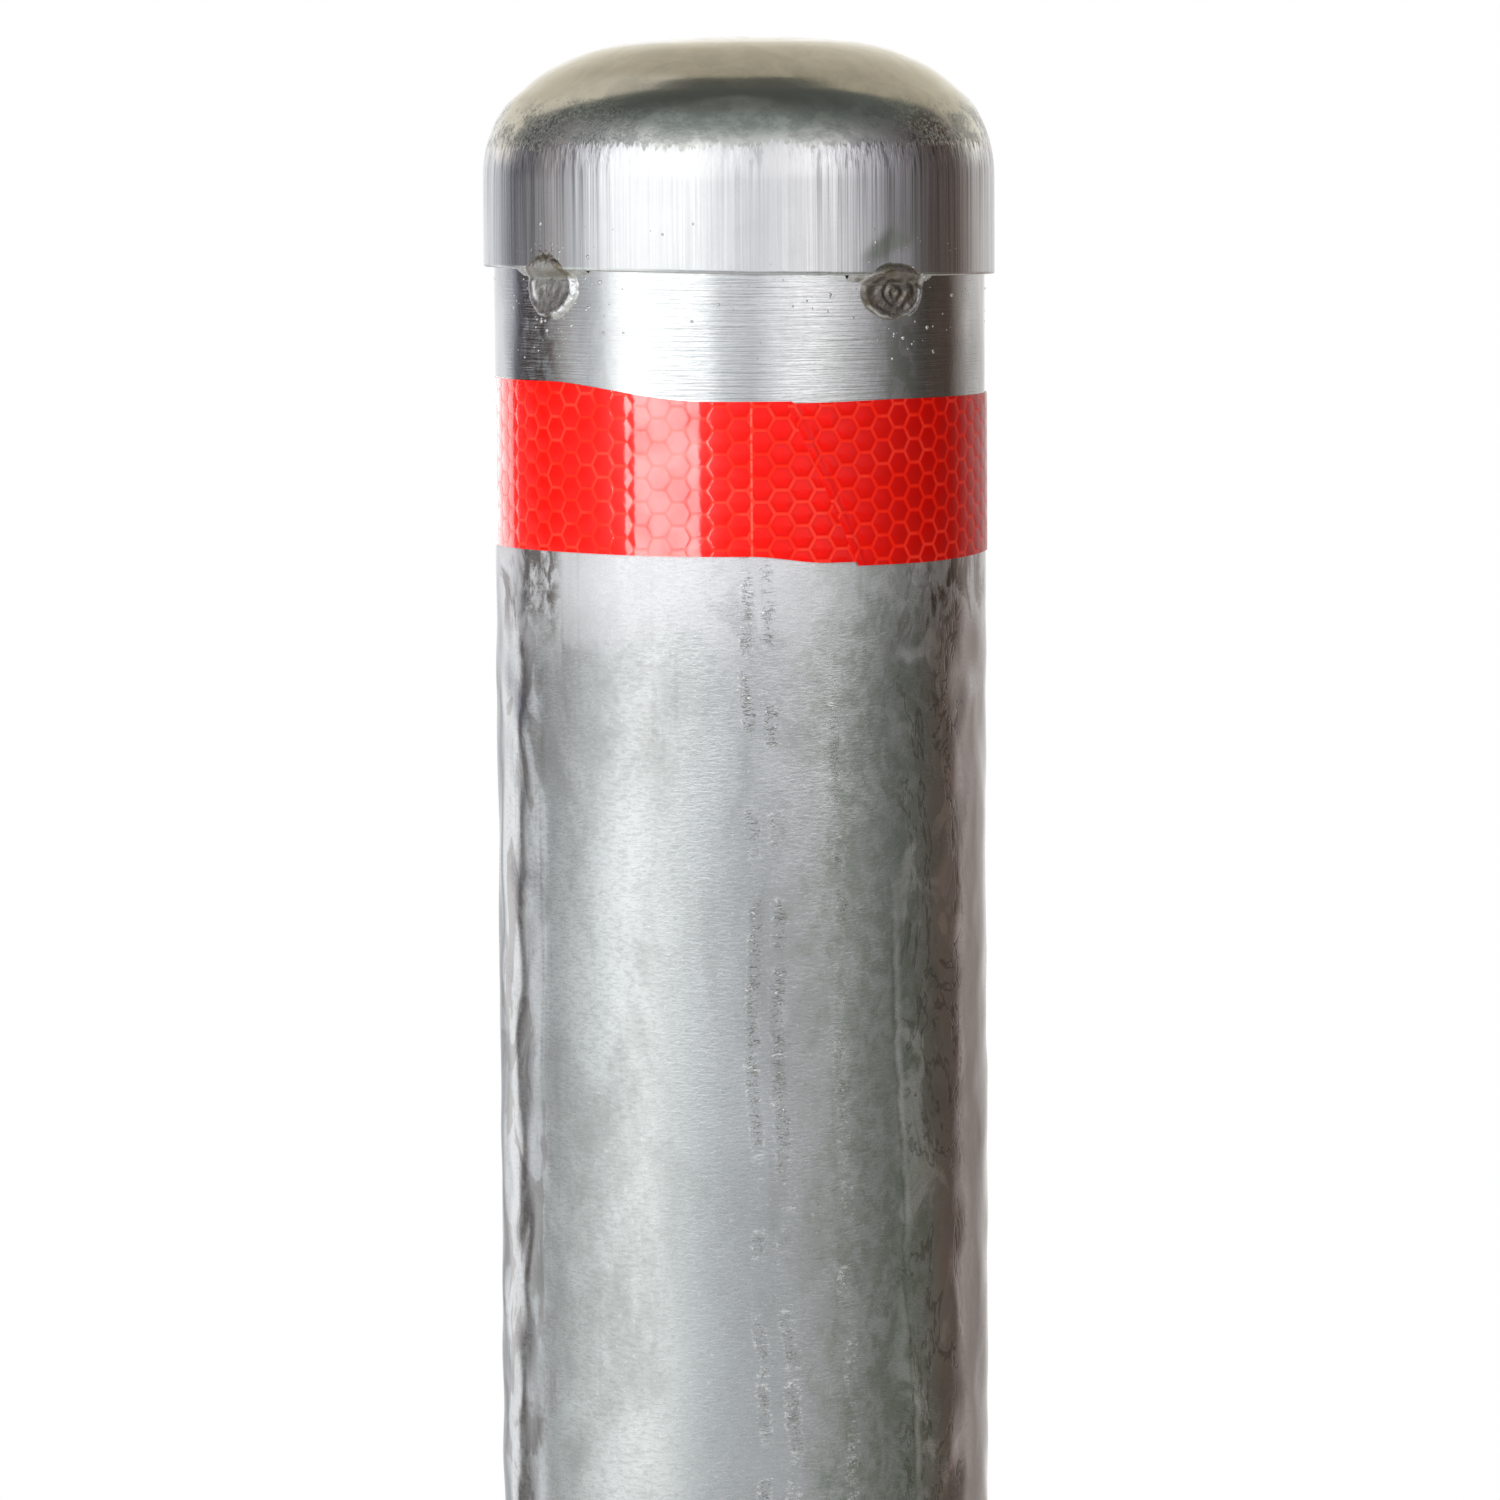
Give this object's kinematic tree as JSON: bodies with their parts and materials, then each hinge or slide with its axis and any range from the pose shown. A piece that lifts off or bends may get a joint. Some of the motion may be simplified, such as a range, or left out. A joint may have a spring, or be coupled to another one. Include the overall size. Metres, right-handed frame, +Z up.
{
  "type": "safety bollard",
  "caption": "Surface-mounted steel safety bollard: galvanised tube with a domed cap, a red reflective band and a square base plate for ground anchors.",
  "frame": {"origin": "centre of the base plate's underside, on the ground", "axes": "+Z up along the post's axis to the crown of the cap, -Y to the front, where the tape's lap and two of the cap's tack welds are"},
  "size_m": [0.25, 0.25, 1],
  "materials": {
    "galvanised_steel": "satin hot-dip zinc with fine grain, drawing marks on the cap's skirt",
    "weld_metal": "rippled weld metal under a thin, uneven zinc coat",
    "reflective_tape": "glossy clear film over a honeycomb of red reflective cells"
  },
  "bodies": {
    "root": {"post_tube": "galvanised_steel", "dome_cap": "galvanised_steel", "cap_weld_front_left": "weld_metal", "cap_weld_front_right": "weld_metal", "cap_weld_back_right": "weld_metal", "cap_weld_back_left": "weld_metal", "reflective_tape": "reflective_tape", "base_plate": "galvanised_steel", "base_weld": "weld_metal"}
  },
  "joints": []
}
